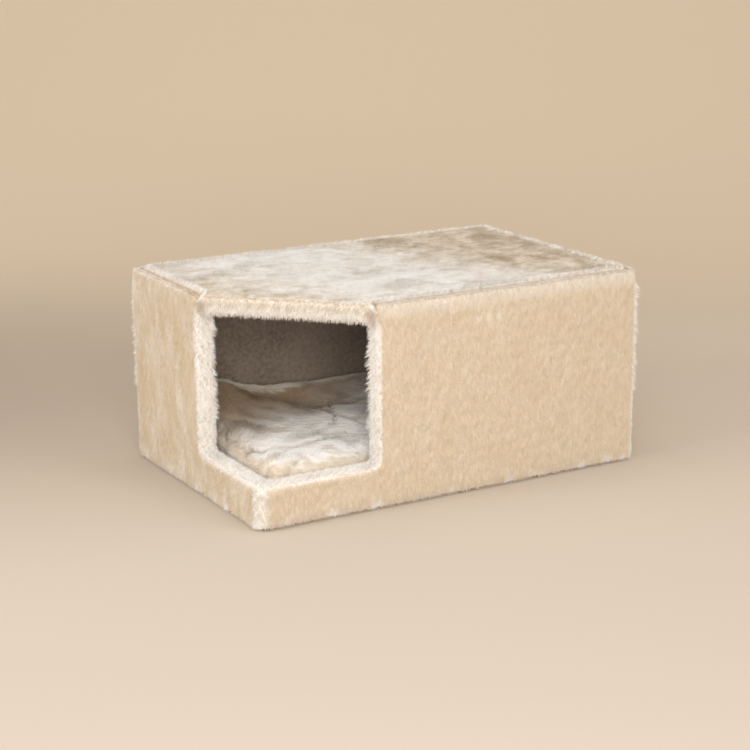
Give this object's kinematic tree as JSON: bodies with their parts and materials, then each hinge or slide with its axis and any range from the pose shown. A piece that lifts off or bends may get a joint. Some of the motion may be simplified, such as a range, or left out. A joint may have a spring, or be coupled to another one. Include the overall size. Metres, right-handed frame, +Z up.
{
  "type": "corner cat house",
  "caption": "Low plush-covered cat house with a doorway cut out of its upper front-left corner, a felt-lined cabin and a loose curled-up pad.",
  "frame": {"origin": "on the floor under the middle of the house's outline", "axes": "+X along the house's length towards its closed right end, +Y towards its back, +Z up; the doorway is at the -X -Y corner"},
  "size_m": [0.638, 0.418, 0.3],
  "materials": {
    "plush": "matte",
    "felt": "matte",
    "chipboard": "matte",
    "pad_cloth": "matte",
    "wadding": "matte",
    "steel": "satin"
  },
  "bodies": {
    "house": {"base_board": "chipboard", "back_board": "chipboard", "right_end_board": "chipboard", "left_end_board": "chipboard", "front_board": "chipboard", "top_board": "chipboard", "base_screw_1": "steel", "base_screw_2": "steel", "base_screw_3": "steel", "base_screw_4": "steel", "base_screw_5": "steel", "base_screw_6": "steel", "base_screw_7": "steel", "base_screw_8": "steel", "top_screw_1": "steel", "top_screw_2": "steel", "top_screw_3": "steel", "top_screw_4": "steel", "top_screw_5": "steel", "top_screw_6": "steel", "top_screw_7": "steel", "top_screw_8": "steel", "corner_screw_1": "steel", "corner_screw_2": "steel", "corner_screw_3": "steel", "corner_screw_4": "steel", "corner_screw_5": "steel", "corner_screw_6": "steel", "corner_screw_7": "steel", "staple_1": "steel", "staple_2": "steel", "staple_3": "steel", "staple_4": "steel", "staple_5": "steel", "staple_6": "steel", "staple_7": "steel", "staple_8": "steel", "staple_9": "steel", "staple_10": "steel", "staple_11": "steel", "staple_12": "steel", "front_plush": "plush", "right_plush": "plush", "back_plush": "plush", "left_plush": "plush", "top_plush": "plush", "back_lining": "felt", "right_lining": "felt", "front_lining": "felt", "left_lining": "felt", "ceiling_lining": "felt", "floor_lining": "felt"},
    "pad": {"pad_cover": "plush", "pad_filling": "wadding", "pad_base": "pad_cloth"}
  },
  "joints": [
    {"name": "pad_lift", "type": "slide", "parent": "house", "child": "pad", "axis": [0, 0, 1], "range_m": [0, 0.12]}
  ]
}
